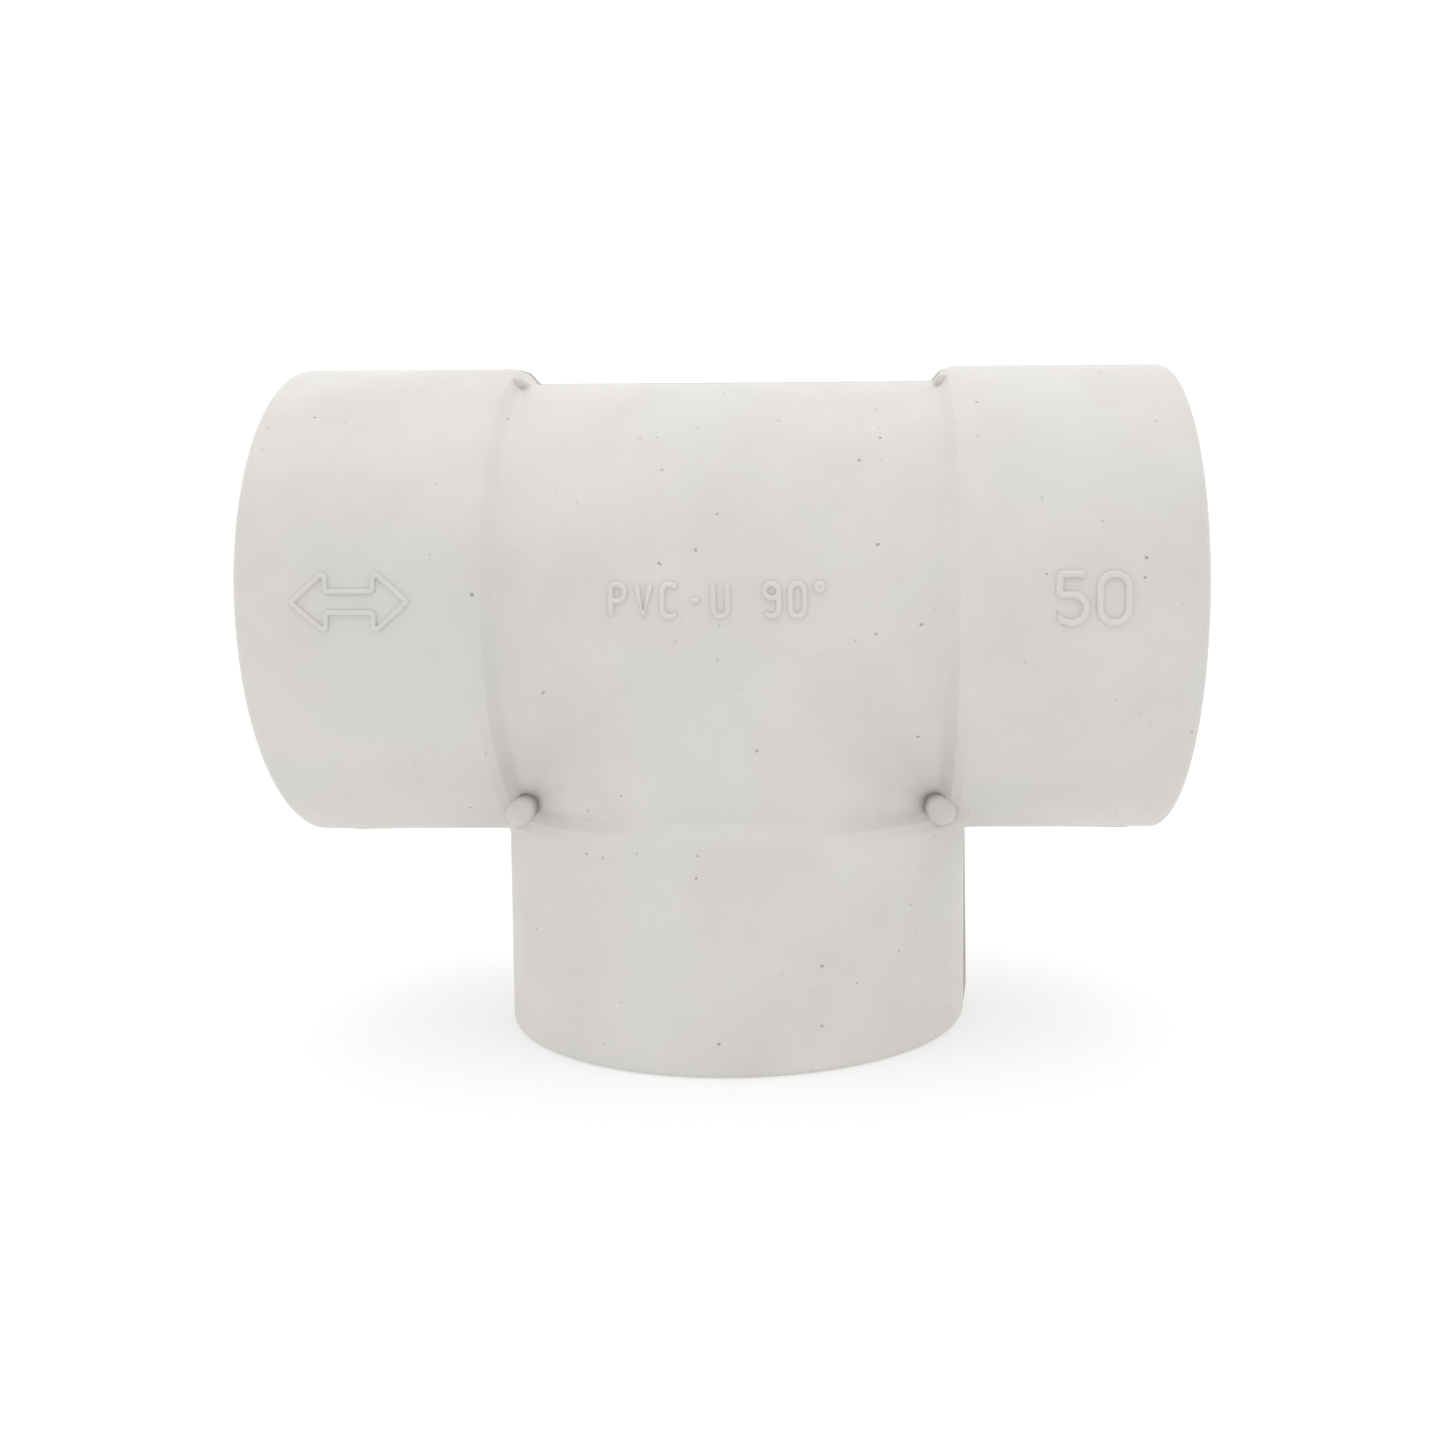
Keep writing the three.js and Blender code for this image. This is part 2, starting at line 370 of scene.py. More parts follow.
def ejector_pad(side, pad):
    """A short round boss about Y, wider at its root, with its front edge broken."""
    bpy.ops.object.select_all(action="DESELECT")
    middle = -(pad["root"] + pad["end"]) / 2
    bpy.ops.mesh.primitive_cone_add(
        vertices=PAD_SIDES,
        radius1=pad["root_radius"],
        radius2=pad["radius"],
        depth=pad["end"] - pad["root"],
        location=(side * pad["across"], middle, AXIS_HEIGHT + pad["up"]),
        rotation=(math.pi / 2, 0, 0),
    )
    boss = bpy.context.object
    settle(boss)
    enter_edit(boss)
    bpy.ops.mesh.select_all(action="DESELECT")
    mesh = bmesh.from_edit_mesh(boss.data)
    for vertex in mesh.verts:
        vertex.select = vertex.co.y < MERGE - pad["end"]
    mesh.select_flush(True)
    bmesh.update_edit_mesh(boss.data)
    bpy.ops.mesh.bevel(offset=PAD_ROUND, segments=PAD_ROUND_STEPS, affect="EDGES")
    leave_edit()
    return boss


def fuse(body, addition):
    union = body.modifiers.new("fuse", "BOOLEAN")
    union.operation = "UNION"
    union.solver = "EXACT"
    union.object = addition
    select_only(body)
    bpy.ops.object.modifier_apply(modifier=union.name)
    bpy.data.objects.remove(addition, do_unlink=True)


# ---------- the moulding ----------


def make_body():
    outside = body_outside()
    outline = outside + body_inside()
    right = turned("right_arm", outline, "right")
    left = turned("left_arm", outline, "left")
    branch = turned("branch_arm", outline, "branch")
    cut_away(right, (-1, 0, -1))
    cut_away(left, (1, 0, -1))
    cut_away(branch, (1, 0, 1))
    cut_away(branch, (-1, 0, 1))
    body = join([right, left, branch], "moulded_body")
    close_up(body)
    fill_crotches(body, outside)
    for side in (-1, 1):
        fuse(body, ejector_pad(side, CROTCH_PAD))
        fuse(body, ejector_pad(side, SHOULDER_PAD))
    drop_slivers(body)
    smooth(body)
    return body


def make_socket(arm):
    socket = turned(arm + "_socket_wall", socket_ring(), arm)
    close_up(socket)
    smooth(socket)
    return socket


# ---------- raised marks, drawn in millimetres on the front of a wall ----------

BEAD_RADIUS = 0.33
BEAD_LIFT = 0.08
BEAD_CORNER = 0.3
BEAD_ROUNDS = (80, 60, 40, 20)
BEAD_SIDES = 4
BEAD_VOXEL = 0.07
SOFTEN_SHARE = 0.5
SOFTEN_PASSES = 4
TURN_STEP = math.radians(15)
QUARTER = math.pi / 2
OPENING = math.radians(20)

# Where each mark stands along the run, its size, and its bead's thickness as a share of BEAD_RADIUS.
FIGURE = {"at": 38.7, "width": 3.0, "height": 5.0, "gap": 1.4, "thickness": 1.25}
LETTER = {"at": 0, "width": 1.5, "height": 3.4, "gap": 1.2, "thickness": 1.0}
ARROW = {
    "at": -38.6,
    "length": 12.2,
    "head": 3.6,
    "head_half": 3.2,
    "shaft_half": 1.1,
    "thickness": 0.9,
}

# Shares of the figure 5's height and width, and of the hyphen's width.
FIVE_BOWL = 0.29
FIVE_STEM_TOP = 0.1
FIVE_STEM_FOOT = 0.06
FIVE_TAIL_ACROSS = 0.42
FIVE_TAIL_RADIUS = 0.24
HYPHEN_START = 0.1
HYPHEN_END = 0.9


def arc(x, y, radius, start, stop):
    steps = math.ceil(abs(stop - start) / TURN_STEP)
    angles = [start + (stop - start) * i / steps for i in range(steps + 1)]
    return [Vector((x + radius * math.cos(a), y + radius * math.sin(a))) for a in angles]


def ring(x, y, radius):
    return arc(x, y, radius, 0, 4 * QUARTER)[:-1]


def with_bead_corners(places):
    """A line through the places, rounded at all but its two ends."""
    inner = [(x, y, BEAD_CORNER) for x, y in places[1:-1]]
    return rounded([(*places[0], 0), *inner, (*places[-1], 0)])


# The middle lines of each character in a box w wide and h high, with whether each one is a ring.
def figure_0(w, h):
    top = arc(w / 2, h - w / 2, w / 2, 0, 2 * QUARTER)
    return [(top + arc(w / 2, w / 2, w / 2, 2 * QUARTER, 4 * QUARTER), True)]


def figure_5(w, h):
    bowl = FIVE_BOWL * h
    hook = FIVE_TAIL_RADIUS * h
    waist = 2 * bowl
    stem = with_bead_corners(
        [(w, h), (FIVE_STEM_TOP * w, h), (FIVE_STEM_FOOT * w, waist), (w - bowl, waist)]
    )
    lower = arc(w - bowl, bowl, bowl, QUARTER, -QUARTER)
    tail = arc(FIVE_TAIL_ACROSS * w, hook, hook, -QUARTER, -2 * QUARTER + OPENING)
    return [(stem[:-1] + lower + tail, False)]


def figure_9(w, h):
    tail = [Vector((w, h - w / 2))] + arc(w / 2, w / 2, w / 2, 0, -2 * QUARTER + OPENING)
    return [(ring(w / 2, h - w / 2, w / 2), True), (tail, False)]


def letter_p(w, h):
    bowl = arc(w - h / 4, 3 * h / 4, h / 4, QUARTER, -QUARTER)
    return [
        ([Vector((0, 0)), Vector((0, h))], False),
        ([Vector((0, h)), *bowl, Vector((0, h / 2))], False),
    ]


def letter_v(w, h):
    return [([Vector((0, h)), Vector((w / 2, 0)), Vector((w, h))], False)]


def letter_c(w, h):
    top = arc(w / 2, h - w / 2, w / 2, OPENING, 2 * QUARTER)
    return [(top + arc(w / 2, w / 2, w / 2, 2 * QUARTER, 4 * QUARTER - OPENING), False)]


def letter_u(w, h):
    bottom = arc(w / 2, w / 2, w / 2, 2 * QUARTER, 4 * QUARTER)
    return [([Vector((0, h)), *bottom, Vector((w, h))], False)]


def hyphen(w, h):
    return [([Vector((HYPHEN_START * w, h / 2)), Vector((HYPHEN_END * w, h / 2))], False)]


def degree(w, h):
    return [(ring(w / 4, h - w / 4, w / 4), True)]


def no_stroke(w, h):
    return []


CHARACTERS = {
    " ": no_stroke,
    "0": figure_0,
    "5": figure_5,
    "9": figure_9,
    "P": letter_p,
    "V": letter_v,
    "C": letter_c,
    "U": letter_u,
    "-": hyphen,
    "°": degree,
}


def lettering(text, style):
    """The strokes of a line of characters, centred on the axis of the run."""
    width, height, gap = style["width"], style["height"], style["gap"]
    pitch = width + gap
    start = style["at"] - (len(text) * pitch - gap) / 2
    strokes = []
    for i, character in enumerate(text):
        shift = Vector((start + i * pitch, -height / 2))
        for line, closed in CHARACTERS[character](width, height):
            strokes.append(([point + shift for point in line], closed))
    return strokes


def flow_arrow(style):
    """A double-headed arrow, as an outline."""
    tip, head_half, shaft_half = style["length"] / 2, style["head_half"], style["shaft_half"]
    neck = tip - style["head"]
    half = [(-neck, shaft_half), (neck, shaft_half), (neck, head_half), (tip, 0)]
    other = [(neck, -head_half), (neck, -shaft_half), (-neck, -shaft_half), (-neck, -head_half)]
    places = [*half, *other, (-tip, 0), (-neck, head_half)]
    looped = with_bead_corners([places[-1], *places, places[0]])
    shift = Vector((style["at"], 0))
    return [([point + shift for point in looped[1:-1]], True)]


def with_round_ends(line, radius):
    """The line's points and the share of the bead's radius at each, with a dome at either end."""

    def dome(end, before):
        along = (end - before).normalized() * radius
        turns = [math.radians(degrees) for degrees in (*BEAD_ROUNDS, 0)]
        return [(end - along + along * math.sin(turn), math.cos(turn)) for turn in turns]

    inner = [(point, 1.0) for point in line[1:-1]]
    return dome(line[0], line[1]) + inner + list(reversed(dome(line[-1], line[-2])))


def as_mesh(curve):
    thing = bpy.data.objects.new(curve.name, curve)
    bpy.context.scene.collection.objects.link(thing)
    select_only(thing)
    bpy.ops.object.convert(target="MESH")
    return thing


def bead_along(name, strokes, radius, place):
    """A round bead along each stroke. place turns a stroke's point into a place in millimetres."""
    data = bpy.data.curves.new(name, "CURVE")
    data.dimensions = "3D"
    data.bevel_depth = radius
    data.bevel_resolution = BEAD_SIDES
    data.use_fill_caps = True
    for line, closed in strokes:
        points = [(point, 1.0) for point in line] if closed else with_round_ends(line, radius)
        spline = data.splines.new("POLY")
        spline.points.add(len(points) - 1)
        spline.use_cyclic_u = closed
        for point, (at, share) in zip(spline.points, points):
            point.co = (*place(at), 1)
            point.radius = share
    return as_mesh(data)


def melt_together(bead):
    """Turns beads that cross one another into a single closed surface."""
    melt = bead.modifiers.new("melt", "REMESH")
    melt.mode = "VOXEL"
    melt.voxel_size = BEAD_VOXEL
    bpy.ops.object.modifier_apply(modifier=melt.name)
    soften = bead.modifiers.new("soften", "SMOOTH")
    soften.factor = SOFTEN_SHARE
    soften.iterations = SOFTEN_PASSES
    bpy.ops.object.modifier_apply(modifier=soften.name)


def to_metres(bead):
    bead.scale = (MM, MM, MM)
    settle(bead)
    bpy.ops.object.shade_smooth()
    return bead


def raised_mark(name, strokes, style, wall_radius):
    """Strokes laid on the front of the run: x along it, and y measured round it from its middle."""
    wall = wall_radius / MM + BEAD_LIFT
    axis = AXIS_HEIGHT / MM

    def place(point):
        angle = point.y / wall
        return (point.x, -wall * math.cos(angle), axis + wall * math.sin(angle))

    mark = bead_along(name, strokes, BEAD_RADIUS * style["thickness"], place)
    melt_together(mark)
    return to_metres(mark)


# ---------- parting line, where the two halves of the mould met ----------

FLASH_HALF_WIDTH = 0.11
FLASH_PROUD = 0.36
FLASH_SUNK = 0.24
FLASH_END = 0.35
FLASH_FADE = 2.5
FLASH_SIDES = 3

# The fin's size at each stretch, as a share of what the numbers above say: on the barrel, on the
# sockets, near the mouths under the run and beside the branch, and at its ends.
FLASH_ON_BARREL = 1
FLASH_ON_SOCKETS = 0.6
FLASH_NEAR_MOUTHS = 1.35
FLASH_LAST = 0.3


def flash_lines(outside):
    """The lines that the fin follows in the plane of the arms, each a list of (point, share)."""
    lift = (FLASH_PROUD - FLASH_SUNK) / 2
    side = SOCKET_RADIUS / MM + lift
    end = MOUTH / MM - FLASH_END
    tail = [
        (Vector((end - FLASH_FADE, side)), FLASH_NEAR_MOUTHS),
        (Vector((end, side)), FLASH_LAST),
    ]
    arm = []
    for point in outside:
        if point.x < SPLIT:
            share = FLASH_ON_BARREL if point.x < SHOULDER_FOOT else FLASH_ON_SOCKETS
            arm.append((Vector((point.x / MM, point.y / MM + lift)), share))
    arm += [(tail[0][0], FLASH_ON_SOCKETS), tail[1]]
    turn = rounded([(end, -side, 0), (side, -side, SOCKET_FILLET / MM), (side, -end, 0)])[1:-1]
    along_run = [(Vector((p.x, -p.y)), share) for p, share in reversed(tail)]
    along_branch = [(Vector((p.y, -p.x)), share) for p, share in tail]
    under = along_run + [(point, FLASH_ON_SOCKETS) for point in turn] + along_branch

    def mirrored(line):
        return [(Vector((-p.x, p.y)), share) for p, share in line]

    return [list(reversed(mirrored(arm[1:]))) + arm, under, mirrored(under)]


def parting_line(outside):
    """A thin fin of flash round the outside, drawn flat and stood up."""
    data = bpy.data.curves.new("parting_line", "CURVE")
    data.dimensions = "3D"
    data.twist_mode = "Z_UP"
    data.bevel_depth = FLASH_HALF_WIDTH
    data.bevel_resolution = FLASH_SIDES
    data.extrude = (FLASH_PROUD + FLASH_SUNK) / 2 - FLASH_HALF_WIDTH
    data.use_fill_caps = True
    for line in flash_lines(outside):
        spline = data.splines.new("POLY")
        spline.points.add(len(line) - 1)
        for point, (at, share) in zip(spline.points, line):
            point.co = (at.x, at.y, 0, 1)
            point.tilt = QUARTER
            point.radius = share
    fin = as_mesh(data)
    fin.rotation_euler = (QUARTER, 0, 0)
    fin.location = CROSSING
    return to_metres(fin)


# ---------- materials ----------

PVC_LIGHT = (0.678, 0.658, 0.626, 1)
PVC_DARK = (0.632, 0.606, 0.574, 1)
PVC_COOL = (0.628, 0.63, 0.622, 1)
# The flash fin's darker colour is painted shade, standing in for the shadow along the fin.
FLASH_PAINTED_SHADE = (0.5, 0.485, 0.465, 1)
SPECK_GREY = (0.25, 0.24, 0.23, 1)
PVC_IOR = 1.53
BUMP_STRENGTH = 0.5
BUMP_DEPTH = 0.05 * MM

# How many of each there are to a metre, roughly.
DRIFTS = 43
SPECK_CLUSTERS = 60
PATCHES = 70
SMEARS = 120
RIPPLES = 260
TURNING_RINGS = 1500
GRAINS = 1900
WOBBLES = 3000

# Most of a noise lies between these.
NOISE_LOW = 0.3
NOISE_HIGH = 0.7

# Where the drift is high the plastic is cooler, at most by this share.
COOL_FROM = 0.52
COOL_FULL = 0.72
COOL_MOST = 0.6

# How far a speck's edge wanders, its sharp core as a share of its size, and the smallest and the
# faintest as a share of the largest and the darkest.
SPECK_WOBBLE = 0.4 * MM
SPECK_CORE = 0.55
SPECK_SMALLEST = 0.25
SPECK_SMALLEST_UP_TO = 0.1
SPECK_FAINTEST = 0.2
CLUSTER_FROM = 0.34
CLUSTER_FULL = 0.55
BETWEEN_CLUSTERS = 0.15


def wire(tree, kind, sockets=(), **settings):
    """Adds a node with its settings, and its inputs set to values or joined to other outputs."""
    node = tree.nodes.new(kind)
    for name, value in settings.items():
        setattr(node, name, value)
    for name, value in dict(sockets).items():
        if isinstance(value, bpy.types.NodeSocket):
            tree.links.new(value, node.inputs[name])
        else:
            node.inputs[name].default_value = value
    return node


def map_range(tree, value, low, high, to_low, to_high, ease="SMOOTHSTEP"):
    sockets = {
        "Value": value,
        "From Min": low,
        "From Max": high,
        "To Min": to_low,
        "To Max": to_high,
    }
    return wire(tree, "ShaderNodeMapRange", sockets, interpolation_type=ease).outputs["Result"]


def arithmetic(tree, operation, one, other):
    return wire(tree, "ShaderNodeMath", {0: one, 1: other}, operation=operation).outputs["Value"]


def vector_arithmetic(tree, operation, *vectors):
    sockets = dict(enumerate(vectors))
    return wire(tree, "ShaderNodeVectorMath", sockets, operation=operation).outputs["Vector"]


def blend_colours(tree, share, first, second):
    """The Mix node keeps its colour inputs at 6 and 7 and its colour output at 2."""
    sockets = {0: share, 6: first, 7: second}
    return wire(tree, "ShaderNodeMix", sockets, data_type="RGBA").outputs[2]


def noise(tree, place, scale, detail=2, roughness=0.5):
    sockets = {"Vector": place, "Scale": scale, "Detail": detail, "Roughness": roughness}
    return wire(tree, "ShaderNodeTexNoise", sockets)


def new_group(name, inputs, outputs):
    tree = bpy.data.node_groups.new(name, "ShaderNodeTree")
    for socket, kind in inputs.items():
        tree.interface.new_socket(socket, in_out="INPUT", socket_type=kind)
    for socket, kind in outputs.items():
        tree.interface.new_socket(socket, in_out="OUTPUT", socket_type=kind)
    given = tree.nodes.new("NodeGroupInput").outputs
    result = tree.nodes.new("NodeGroupOutput").inputs
    return tree, given, result


def cloudy_tone_group():
    """The faint patches of a moulding: lighter and darker over a couple of centimetres, with cooler
    stretches between the warm ones."""
    inputs = {
        "Place": "NodeSocketVector",
        "Light": "NodeSocketColor",
        "Dark": "NodeSocketColor",
        "Cool": "NodeSocketColor",
    }
    tree, given, result = new_group("cloudy_tone", inputs, {"Colour": "NodeSocketColor"})
    patches = noise(tree, given["Place"], PATCHES, detail=6, roughness=0.65).outputs["Fac"]
    darkness = map_range(tree, patches, NOISE_LOW, NOISE_HIGH, 0, 1)
    tone = blend_colours(tree, darkness, given["Light"], given["Dark"])
    drift = noise(tree, given["Place"], DRIFTS, detail=3).outputs["Color"]
    parts = wire(tree, "ShaderNodeSeparateColor", {"Color": drift}).outputs
    cool = map_range(tree, parts["Green"], COOL_FROM, COOL_FULL, 0, COOL_MOST)
    tree.links.new(blend_colours(tree, cool, tone, given["Cool"]), result["Colour"])
    return tree


def specks_group():
    """Small grey specks of dirt and burnt resin, each of its own size and strength."""
    inputs = {
        "Place": "NodeSocketVector",
        "Per Metre": "NodeSocketFloat",
        "Largest": "NodeSocketFloat",
    }
    tree, given, result = new_group("specks", inputs, {"Mask": "NodeSocketFloat"})
    wobble = noise(tree, given["Place"], WOBBLES).outputs["Color"]
    centred = vector_arithmetic(tree, "SUBTRACT", wobble, (0.5, 0.5, 0.5))
    reach = (SPECK_WOBBLE, SPECK_WOBBLE, SPECK_WOBBLE)
    ragged = vector_arithmetic(tree, "MULTIPLY_ADD", centred, reach, given["Place"])
    sockets = {"Vector": ragged, "Scale": given["Per Metre"]}
    cells = wire(tree, "ShaderNodeTexVoronoi", sockets).outputs
    chance = wire(tree, "ShaderNodeSeparateColor", {"Color": cells["Color"]}).outputs
    size = map_range(tree, chance["Red"], SPECK_SMALLEST_UP_TO, 1, SPECK_SMALLEST, 1)
    radius = arithmetic(tree, "MULTIPLY", size, given["Largest"])
    from_middle = arithmetic(tree, "DIVIDE", cells["Distance"], radius)
    inside = map_range(tree, from_middle, SPECK_CORE, 1, 1, 0)
    strength = map_range(tree, chance["Green"], 0, 1, SPECK_FAINTEST, 1)
    gather = noise(tree, given["Place"], SPECK_CLUSTERS, detail=3).outputs["Fac"]
    crowding = map_range(tree, gather, CLUSTER_FROM, CLUSTER_FULL, BETWEEN_CLUSTERS, 1)
    darkness = arithmetic(tree, "MULTIPLY", strength, crowding)
    tree.links.new(arithmetic(tree, "MULTIPLY", inside, darkness), result["Mask"])
    return tree


def moulded_skin_group():
    """The skin that a mould leaves: soft ripples a few millimetres long under a fine grain."""
    inputs = {
        "Place": "NodeSocketVector",
        "Ripple": "NodeSocketFloat",
        "Grain": "NodeSocketFloat",
    }
    tree, given, result = new_group("moulded_skin", inputs, {"Height": "NodeSocketFloat"})
    waves = noise(tree, given["Place"], RIPPLES, detail=1).outputs["Fac"]
    dots = noise(tree, given["Place"], GRAINS, detail=3, roughness=0.6).outputs["Fac"]
    ripple = arithmetic(tree, "MULTIPLY", waves, given["Ripple"])
    grain = arithmetic(tree, "MULTIPLY", dots, given["Grain"])
    tree.links.new(arithmetic(tree, "ADD", ripple, grain), result["Height"])
    return tree


GROUPS = {
    "tone": cloudy_tone_group(),
    "specks": specks_group(),
    "skin": moulded_skin_group(),
}


def place_group(tree, group, sockets):
    return wire(tree, "ShaderNodeGroup", sockets, node_tree=GROUPS[group]).outputs[0]


def pvc(name, look, rings_along=None):
    """Moulded white PVC. rings_along is the axis of a bore whose core was turned on a lathe."""
    material = bpy.data.materials.new(name)
    material.use_nodes = True
    tree = material.node_tree
    shader = tree.nodes["Principled BSDF"]
    place = tree.nodes.new("ShaderNodeTexCoord").outputs["Object"]

    colours = {"Light": look["light"], "Dark": look["dark"], "Cool": look["cool"]}
    tone = place_group(tree, "tone", {"Place": place, **colours})
    dirt = {"Per Metre": look["specks"], "Largest": look["speck_size"]}
    specks = place_group(tree, "specks", {"Place": place, **dirt})
    darkness = arithmetic(tree, "MULTIPLY", specks, look["speck_strength"])
    stained = blend_colours(tree, darkness, tone, SPECK_GREY)
    tree.links.new(stained, shader.inputs["Base Color"])

    texture = {"Ripple": look["ripple"], "Grain": look["grain"]}
    height = place_group(tree, "skin", {"Place": place, **texture})
    if rings_along:
        along = wire(tree, "ShaderNodeSeparateXYZ", {"Vector": place}).outputs[rings_along]
        line = wire(tree, "ShaderNodeCombineXYZ", {"X": along}).outputs["Vector"]
        rings = noise(tree, line, TURNING_RINGS).outputs["Fac"]
        ridges = arithmetic(tree, "MULTIPLY", rings, look["rings"])
        height = arithmetic(tree, "ADD", height, ridges)
    relief = {"Height": height, "Strength": BUMP_STRENGTH, "Distance": BUMP_DEPTH}
    bump = wire(tree, "ShaderNodeBump", relief)
    tree.links.new(bump.outputs["Normal"], shader.inputs["Normal"])

    smears = noise(tree, place, SMEARS, detail=4, roughness=0.6).outputs["Fac"]
    matt = look["roughness"] + look["uneven"]
    glossy = look["roughness"] - look["uneven"]
    finish = map_range(tree, smears, NOISE_LOW, NOISE_HIGH, matt, glossy)
    tree.links.new(finish, shader.inputs["Roughness"])
    shader.inputs["IOR"].default_value = PVC_IOR
    return material


SATIN = {
    "light": PVC_LIGHT,
    "dark": PVC_DARK,
    "cool": PVC_COOL,
    "specks": 470,
    "speck_size": 0.13,
    "speck_strength": 0.8,
    "ripple": 0.7,
    "grain": 0.12,
    "roughness": 0.42,
    "uneven": 0.04,
}
# A bore is smoother and shinier, and carries the rings of the core that formed it.
POLISHED = {
    **SATIN,
    "ripple": 0.3,
    "grain": 0.05,
    "rings": 0.4,
    "roughness": 0.34,
    "uneven": 0.02,
    "speck_strength": 0.35,
}
# Flash is thin; its colours are darker than the plastic's, as painted shade along the fin.
FIN_PAINTED_SHADE = {
    **SATIN,
    "light": PVC_DARK,
    "dark": FLASH_PAINTED_SHADE,
    "roughness": 0.6,
}


# ---------- camera, lights and floor ----------

# The camera's place from the crossing, in millimetres, how it is turned, in radians, and its lens.
CAMERA_PLACE = (11.45, -172.37, -0.15)
CAMERA_YAW = 0.0161
CAMERA_PITCH = 0.0777
CAMERA_ROLL = -0.0051
SENSOR_WIDTH = 36
LENS = 34.6
SHIFT_X = -0.0589
SHIFT_Y = -0.0091
NEAREST_SEEN = 1 * MM

# The floor is a square, in metres, that glows a little.
FLOOR_SIZE = 8
FLOOR_WHITE = (0.55, 0.55, 0.55, 1)
FLOOR_ROUGHNESS = 0.9
TABLE_GLOW = 0.42

# How bright the studio is in front of the table and behind it, how far round the back that full
# brightness starts, how much brighter it is overhead, and how bright its back wall looks.
FRONT_LIGHT = 0.56
BACK_LIGHT = 0.92
BACK_FROM = 0.35
SKY_LIGHT = 0.467
BACKDROP = (1.04, 1.04, 1.04, 1)

# Each soft box: the way its light goes, its strength, and how many degrees across it looks.
SOFT_BOXES = {
    "top_soft_box": ((0, 0.2, -1), 0.26, 60),
    "front_soft_box": ((0, 1, -0.9), 0.1, 40),
    "left_soft_box": ((1, 0.2, -0.2), 0.11, 40),
    "right_soft_box": ((-1, 0.2, -0.2), 0.04, 40),
}


def make_camera():
    data = bpy.data.cameras.new("camera")
    camera = bpy.data.objects.new("camera", data)
    bpy.context.scene.collection.objects.link(camera)
    camera.location = CROSSING + Vector(CAMERA_PLACE) * MM
    yaw = Matrix.Rotation(CAMERA_YAW, 3, "Z")
    pitch = Matrix.Rotation(math.pi / 2 - CAMERA_PITCH, 3, "X")
    roll = Matrix.Rotation(CAMERA_ROLL, 3, "Z")
    camera.rotation_euler = (yaw @ pitch @ roll).to_euler()
    data.sensor_width = SENSOR_WIDTH
    data.lens = LENS
    data.shift_x = SHIFT_X
    data.shift_y = SHIFT_Y
    data.clip_start = NEAREST_SEEN
    bpy.context.scene.camera = camera


def soft_sun(name, towards, strength, spread):
    """Even light from one side, as from a large soft box well away."""
    data = bpy.data.lights.new(name, "SUN")
    data.energy = strength
    data.angle = math.radians(spread)
    light = bpy.data.objects.new(name, data)
    light.rotation_euler = Vector(towards).to_track_quat("-Z", "Y").to_euler()
    bpy.context.scene.collection.objects.link(light)


def make_floor():
    bpy.ops.object.select_all(action="DESELECT")
    bpy.ops.mesh.primitive_plane_add(size=FLOOR_SIZE)
    floor = bpy.context.object
    floor.name = "floor"
    material = bpy.data.materials.new("studio_white")
    material.use_nodes = True
    shader = material.node_tree.nodes["Principled BSDF"]
    shader.inputs["Base Color"].default_value = FLOOR_WHITE
    shader.inputs["Roughness"].default_value = FLOOR_ROUGHNESS
    shader.inputs["Emission Color"].default_value = (1, 1, 1, 1)
    shader.inputs["Emission Strength"].default_value = TABLE_GLOW
    floor.data.materials.append(material)


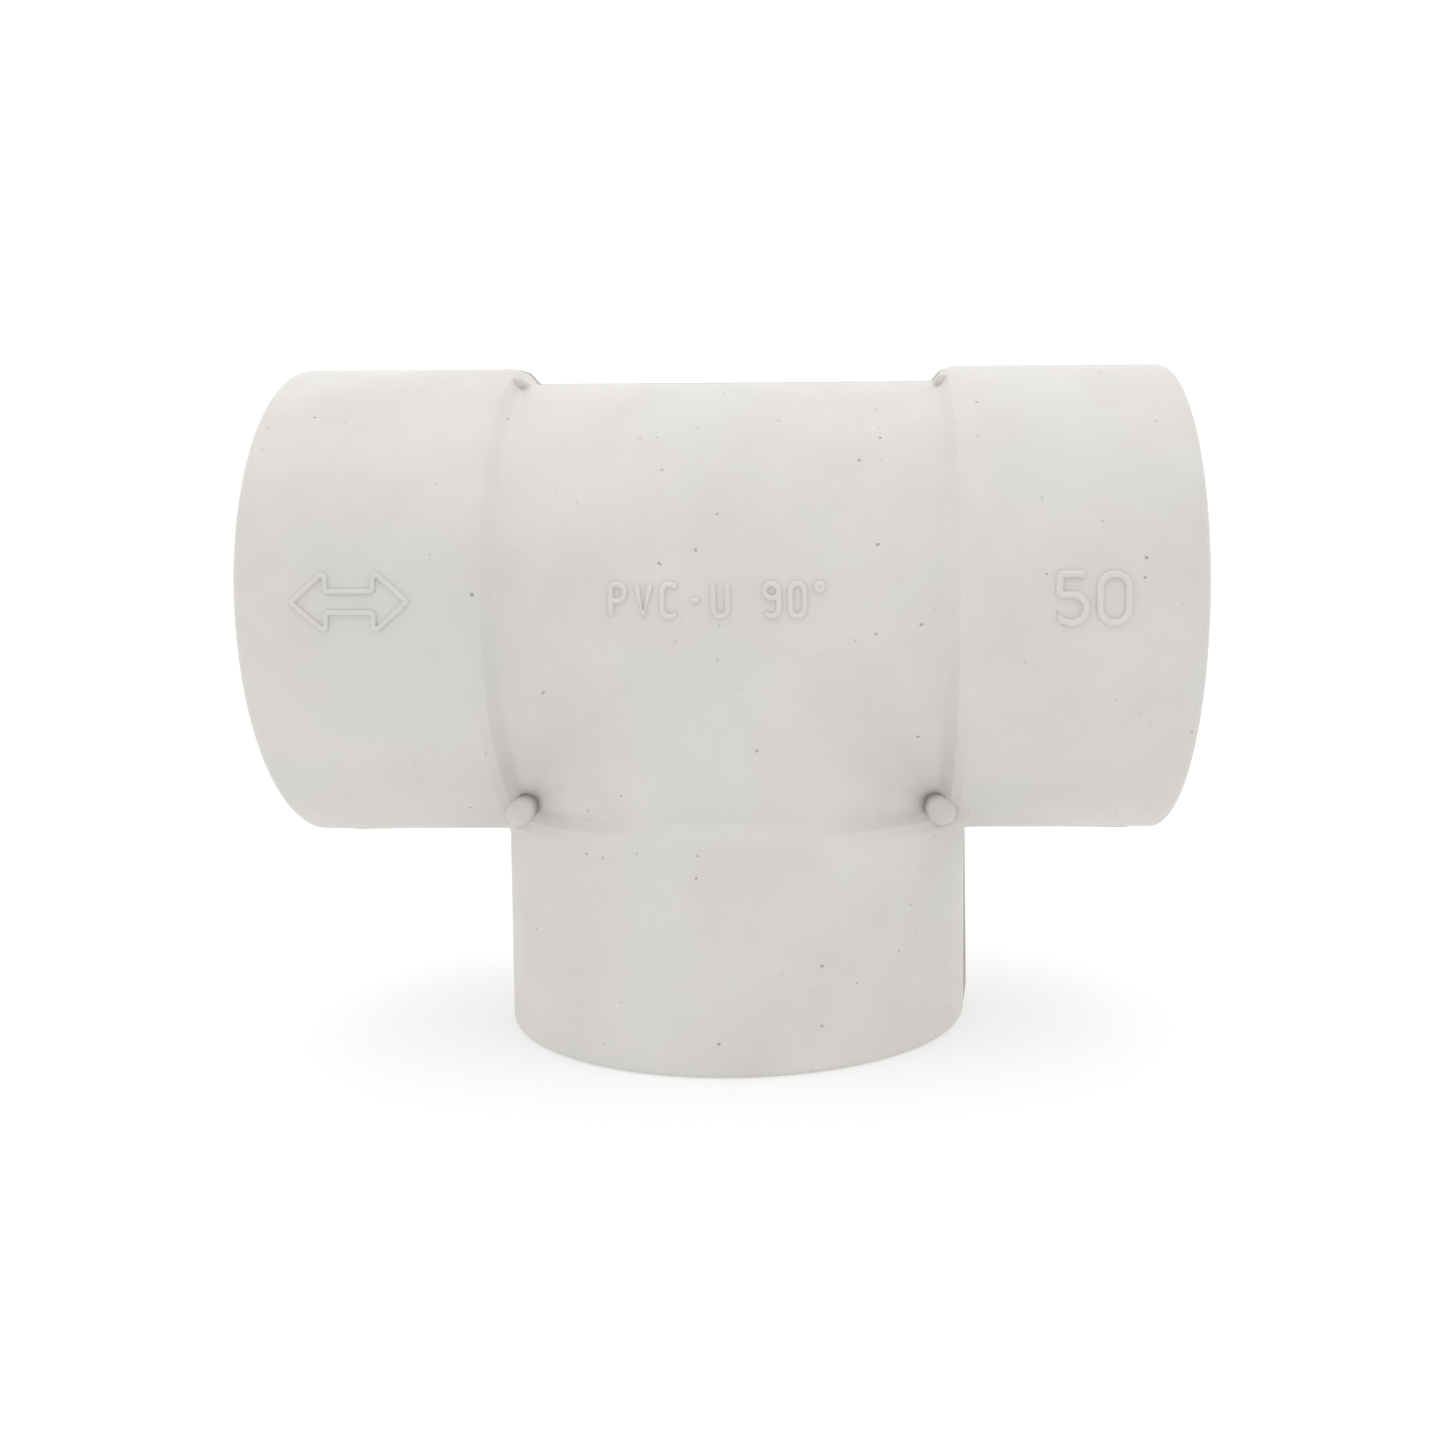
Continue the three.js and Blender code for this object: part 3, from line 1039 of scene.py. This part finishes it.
def make_studio():
    """Light from all round, with a plain white back wall where the camera looks past the tee."""
    world = bpy.data.worlds.new("studio")
    world.use_nodes = True
    tree = world.node_tree
    outwards = tree.nodes.new("ShaderNodeTexCoord").outputs["Generated"]
    direction = wire(tree, "ShaderNodeSeparateXYZ", {"Vector": outwards}).outputs
    level = map_range(tree, direction["Y"], -1, BACK_FROM, FRONT_LIGHT, BACK_LIGHT, "LINEAR")
    overhead = map_range(tree, direction["Z"], 0, 1, 0, SKY_LIGHT, "LINEAR")
    strength = arithmetic(tree, "ADD", level, overhead)
    seen = tree.nodes.new("ShaderNodeLightPath").outputs["Is Camera Ray"]
    colour = blend_colours(tree, seen, strength, BACKDROP)
    tree.links.new(colour, tree.nodes["Background"].inputs["Color"])
    bpy.context.scene.world = world
    bpy.context.scene.view_settings.view_transform = "Standard"
    for name, (towards, strength, spread) in SOFT_BOXES.items():
        soft_sun(name, towards, strength, spread)


# ---------- the scene ----------

make_camera()
make_floor()
make_studio()

satin = pvc("satin_pvc", SATIN)
run_bore = pvc("run_bore_pvc", POLISHED, rings_along="X")
branch_bore = pvc("branch_bore_pvc", POLISHED, rings_along="Z")
# The flash material carries painted shade: the fin is darker than the plastic in place of its
# shadow.
flash = pvc("flash_painted_shade_pvc", FIN_PAINTED_SHADE)
WALL_FINISHES = [satin, run_bore, branch_bore]


def finish_faces(piece):
    """Satin outside, and polished where a face lies inside the bores."""
    for material in WALL_FINISHES:
        piece.data.materials.append(material)
    for face in piece.data.polygons:
        place = face.center - CROSSING
        finish = satin
        if math.hypot(place.y, place.z) < INSIDE_RADIUS:
            finish = run_bore
        elif place.z < 0 and math.hypot(place.x, place.y) < INSIDE_RADIUS:
            finish = branch_bore
        face.material_index = WALL_FINISHES.index(finish)
    return piece


def finish_all(piece, material):
    piece.data.materials.append(material)
    return piece


size_mark = raised_mark("raised_size_mark", lettering("50", FIGURE), FIGURE, SOCKET_RADIUS)
material_strokes = lettering("PVC-U 90°", LETTER)
material_mark = raised_mark("raised_material_mark", material_strokes, LETTER, BARREL_RADIUS)
flow_mark = raised_mark("raised_flow_arrow", flow_arrow(ARROW), ARROW, SOCKET_RADIUS)
stands_for = {
    "tee_body": [
        finish_faces(make_body()),
        finish_all(material_mark, satin),
        finish_all(parting_line(body_outside()), flash),
    ],
    "run_socket_right": [finish_faces(make_socket("right")), finish_all(size_mark, satin)],
    "run_socket_left": [finish_faces(make_socket("left")), finish_all(flow_mark, satin)],
    "branch_socket": [finish_faces(make_socket("branch"))],
}
for node, pieces in stands_for.items():
    for piece in pieces:
        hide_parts(node)
        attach(piece, "root")
